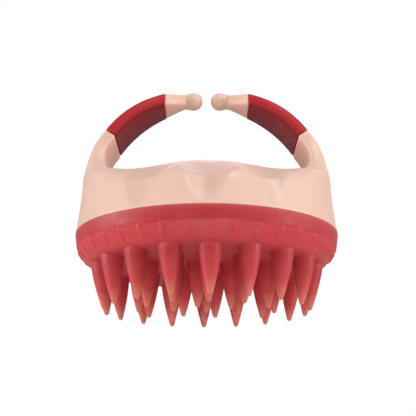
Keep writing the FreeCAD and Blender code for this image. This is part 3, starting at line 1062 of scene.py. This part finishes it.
@dataclass
class BristlePad:
    """The soft cup under the casing: a smooth rim, a ribbed chamfer and a flat underside."""

    columns: int = 540
    rib_count: int = 36
    rib_turn: float = 1.8
    rib_width: float = 1.5
    rib_rise: float = 0.6
    profile: Profile = (
        (0.0, 15.0), (10.0, 15.0), (20.0, 15.0), (29.0, 15.0), (35.5, 15.0), (37.2, 15.02),
        (38.1, 15.15), (38.9, 15.45), (39.55, 15.92), (40.15, 16.5), (40.7, 17.08), (41.2, 17.65),
        (41.65, 18.2), (42.1, 18.8), (42.5, 19.4), (42.82, 19.95), (43.03, 20.35), (43.15, 20.55),
        (43.32, 20.75), (43.42, 21.0), (43.58, 22.2), (43.76, 23.6), (43.92, 24.7), (43.96, 25.15),
        (43.93, 25.33), (43.8, 25.41), (41.0, 25.4), (38.0, 25.4), (38.0, 24.0), (41.2, 24.0),
        (41.2, 20.0), (38.5, 17.35), (20.0, 17.35), (0.0, 17.35),
    )

    def raise_ribs(self, bm: BMesh) -> None:
        """Raises the ribs on the chamfer.

        Args:
            bm: the turned pad.
        """
        pitch = math.tau / self.rib_count
        for vert in bm.verts:
            reach = math.hypot(vert.co.x, vert.co.y)
            height = vert.co.z
            if reach < 38.0 or not 15.0 < height < 20.9:
                continue
            turn = math.atan2(vert.co.y, vert.co.x) - math.radians(self.rib_turn)
            aside = abs((turn + pitch / 2) % pitch - pitch / 2) * reach
            crest = 1 - ease(aside, 0.15, self.rib_width / 2)
            ends = ease(height, 16.6, 17.5) * (1 - ease(height, 19.6, 20.8))
            slope = math.radians(35.0) * (1 - ease(height, 16.5, 19.5))
            rise = self.rib_rise * crest * ends
            out = Vector((vert.co.x, vert.co.y, 0)).normalized()
            vert.co += out * rise * math.cos(slope) - Vector((0, 0, rise * math.sin(slope)))

    def build(self, material: bpy.types.Material) -> None:
        """Builds the pad.

        Args:
            material: its finish.
        """
        bm = spin_profile(self.profile, self.columns)
        self.raise_ribs(bm)
        piece = finish_piece(bm, "silicone_pad", material)
        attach(piece, "casing")
        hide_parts("bristle_pad")


@dataclass
class BristleRing:
    """One ring of tapered bristles, each with a rounded tip and a flared root."""

    name: str
    node: str
    radius: float
    count: int
    turn: float
    lean: float = 0.0
    segments: int = 24
    root_height: float = 16.9
    profile: Profile = (
        (0.0, 0.0), (0.27, 0.04), (0.5, 0.17), (0.68, 0.4), (0.84, 0.8), (1.17, 2.0), (1.71, 4.0),
        (2.2, 6.0), (2.63, 8.0), (3.0, 10.0), (3.31, 12.0), (3.55, 14.0), (3.68, 15.3),
        (3.78, 16.6),
    )

    def build(self, material: bpy.types.Material) -> None:
        """Builds the ring and ties it to the casing.

        Args:
            material: its finish.
        """
        outline = list(self.profile) + [(self.profile[-1][0], self.root_height), (0.0, self.root_height)]
        bm = spin_profile(outline, self.segments)
        for vert in bm.verts:
            vert.co.x += self.radius + self.lean * vert.co.z / 15
        first_turn = Matrix.Rotation(math.radians(self.turn), 3, "Z")
        bmesh.ops.rotate(bm, verts=bm.verts, cent=(0, 0, 0), matrix=first_turn)
        single = list(bm.verts) + list(bm.edges) + list(bm.faces)
        for number in range(1, self.count):
            copied = bmesh.ops.duplicate(bm, geom=single)["geom"]
            points = [part for part in copied if isinstance(part, Vert)]
            spin = Matrix.Rotation(math.tau * number / self.count, 3, "Z")
            bmesh.ops.rotate(bm, verts=points, cent=(0, 0, 0), matrix=spin)
        piece = finish_piece(bm, self.name, material)
        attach(piece, "casing")
        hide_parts(self.node)


@dataclass
class InnerWorks:
    """The pieces inside, which keep their own shape and get their finish."""

    carrier: InnerFinish = InnerFinish("abs_moulded_natural_white", "E6E2D8", "DAD4C6", (0.40, 0.55))
    seal: InnerFinish = InnerFinish("epdm_moulded_black", "1E1D1E", "2A2829", (0.55, 0.75), cloud_size=3.0)
    steel: InnerFinish = InnerFinish(
        "steel_zinc_plated", "B9BCC0", "A3A7AD", (0.25, 0.45), 1.0, cloud_size=1.5, stretch=(1.0, 1.0, 3.0)
    )

    def dress(self) -> None:
        """Puts the finishes on the carried pieces."""
        finishes = {"base_plate": self.carrier, "seal_ring": self.seal, "plate_screws": self.steel}
        for node, finish in finishes.items():
            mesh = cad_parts[node].data
            material = finish.make()
            if not mesh.materials:
                mesh.materials.append(material)
            for number in range(len(mesh.materials)):
                mesh.materials[number] = material
            LOG.info("%s: dressed in %s", node, material.name)


# ---------------------------------------------------------------- studio


@dataclass(frozen=True)
class Softbox:
    """One soft lamp: where it stands, how large it is and how much it gives."""

    name: str
    place: tuple[float, float, float]
    size: float
    power: float
    colour: str = "FFFFFF"


@dataclass
class Studio:
    """A pale floor, soft lamps and the camera, which looks a little upwards from below the tips."""

    lens: float = 80.0
    eye: tuple[float, float, float] = (0.00045, -0.3041, -0.0478)
    pitch: float = 15.41
    lamps: tuple[Softbox, ...] = (
        Softbox("key", (0.22, -0.42, 0.72), 0.35, 2.75, "FFFDF9"),
        Softbox("left", (-0.80, -0.16, 0.10), 0.40, 3.9, "FFF6F6"),
        Softbox("right", (0.80, -0.22, 0.10), 0.40, 3.0, "FFF6F2"),
        Softbox("low", (0.0, -0.45, -0.42), 0.35, 1.4, "FFF0EA"),
        Softbox("back", (0.1, 0.60, 0.45), 0.60, 1.9, "E6D8FF"),
    )

    def make_floor(self) -> None:
        """Lays a pale floor. It is seen from above only, and throws no light or shade back."""
        bm = bmesh.new()
        bmesh.ops.create_grid(bm, x_segments=4, y_segments=4, size=3.0)
        mesh = bpy.data.meshes.new("studio_floor")
        bmesh.ops.translate(bm, vec=(0, 0, -0.0003), verts=bm.verts)
        bm.to_mesh(mesh)
        bm.free()
        floor = bpy.data.objects.new("studio_floor", mesh)
        bpy.context.scene.collection.objects.link(floor)
        material = bpy.data.materials.new("painted_board_pale")
        material.use_nodes = True
        tree = material.node_tree
        tree.nodes.clear()
        where = add_node(tree, "ShaderNodeTexCoord").outputs["Object"]
        cloud = add_node(tree, "ShaderNodeTexNoise", values={"Scale": 40.0}, links={"Vector": where})
        tone = add_node(
            tree,
            "ShaderNodeMix",
            settings={"data_type": "RGBA"},
            values={6: to_linear("F4F3F2"), 7: to_linear("F0EFEE")},
            links={0: cloud.outputs["Fac"]},
        )
        paint = add_node(
            tree, "ShaderNodeBsdfPrincipled", values={"Roughness": 0.8}, links={"Base Color": tone.outputs[2]}
        )
        clear = add_node(tree, "ShaderNodeBsdfTransparent")
        under = add_node(tree, "ShaderNodeNewGeometry").outputs["Backfacing"]
        both = add_node(
            tree,
            "ShaderNodeMixShader",
            links={0: under, 1: paint.outputs["BSDF"], 2: clear.outputs["BSDF"]},
        )
        add_node(tree, "ShaderNodeOutputMaterial", links={"Surface": both.outputs["Shader"]})
        mesh.materials.append(material)
        floor.visible_diffuse = floor.visible_glossy = floor.visible_shadow = False

    def make_world(self) -> None:
        """Makes a white surround that lights the object more gently than it shows."""
        world = bpy.data.worlds.new("surround")
        world.use_nodes = True
        tree = world.node_tree
        tree.nodes.clear()
        seen, given = (
            add_node(tree, "ShaderNodeBackground", values={"Color": colour, "Strength": strength})
            for colour, strength in (((1, 1, 1, 1), 1.0), ((1, 0.985, 0.975, 1), 0.4))
        )
        ray = add_node(tree, "ShaderNodeLightPath").outputs["Is Camera Ray"]
        both = add_node(
            tree,
            "ShaderNodeMixShader",
            links={0: ray, 1: given.outputs["Background"], 2: seen.outputs["Background"]},
        )
        add_node(tree, "ShaderNodeOutputWorld", links={"Surface": both.outputs["Shader"]})
        bpy.context.scene.world = world

    def hang_lamps(self) -> None:
        """Hangs the soft lamps, each facing the object's middle."""
        middle = Vector((0, 0, 0.04))
        for lamp in self.lamps:
            light = bpy.data.lights.new(lamp.name, "AREA")
            light.shape = "DISK"
            light.size = lamp.size
            light.energy = lamp.power
            light.color = to_linear(lamp.colour)[:3]
            holder = bpy.data.objects.new(lamp.name, light)
            holder.location = lamp.place
            holder.rotation_euler = (middle - Vector(lamp.place)).to_track_quat("-Z", "Y").to_euler()
            bpy.context.scene.collection.objects.link(holder)

    def set_camera(self) -> None:
        """Sets up the camera."""
        data = bpy.data.cameras.new("camera")
        data.lens = self.lens
        data.sensor_width = 36.0
        data.clip_start = 0.01
        camera = bpy.data.objects.new("camera", data)
        camera.location = self.eye
        camera.rotation_euler = (math.radians(90 + self.pitch), 0, 0)
        bpy.context.scene.collection.objects.link(camera)
        bpy.context.scene.camera = camera
        bpy.context.scene.view_settings.view_transform = "Standard"

    def build(self) -> None:
        """Builds the whole studio."""
        self.set_camera()
        self.make_world()
        self.hang_lamps()
        self.make_floor()


def main() -> None:
    """Builds the brush piece by piece, then the studio round it."""
    logging.basicConfig(level=logging.INFO, format="%(name)s %(message)s")
    line = ArmLine()
    shell = SatinShell().make()
    silicone = MattSilicone().make()
    rubber = SoftTouchRubber().make()
    Studio().build()
    CasingWithArms(line).build(shell)
    for side in Side:
        GripSleeve(line, side).build(rubber)
    BristlePad().build(silicone)
    rings = (
        BristleRing("bristles_outer_ring", "outer_bristles", 33.9, 18, 91.8, lean=1.2),
        BristleRing("bristles_middle_ring", "middle_bristles", 22.4, 12, 91.8),
        BristleRing("bristles_inner_ring", "inner_bristles", 11.2, 6, 75.0),
        BristleRing("bristle_centre", "centre_bristle", 0.0, 1, 0.0),
    )
    for ring in rings:
        ring.build(silicone)
    InnerWorks().dress()


if __name__ == "__main__":
    main()
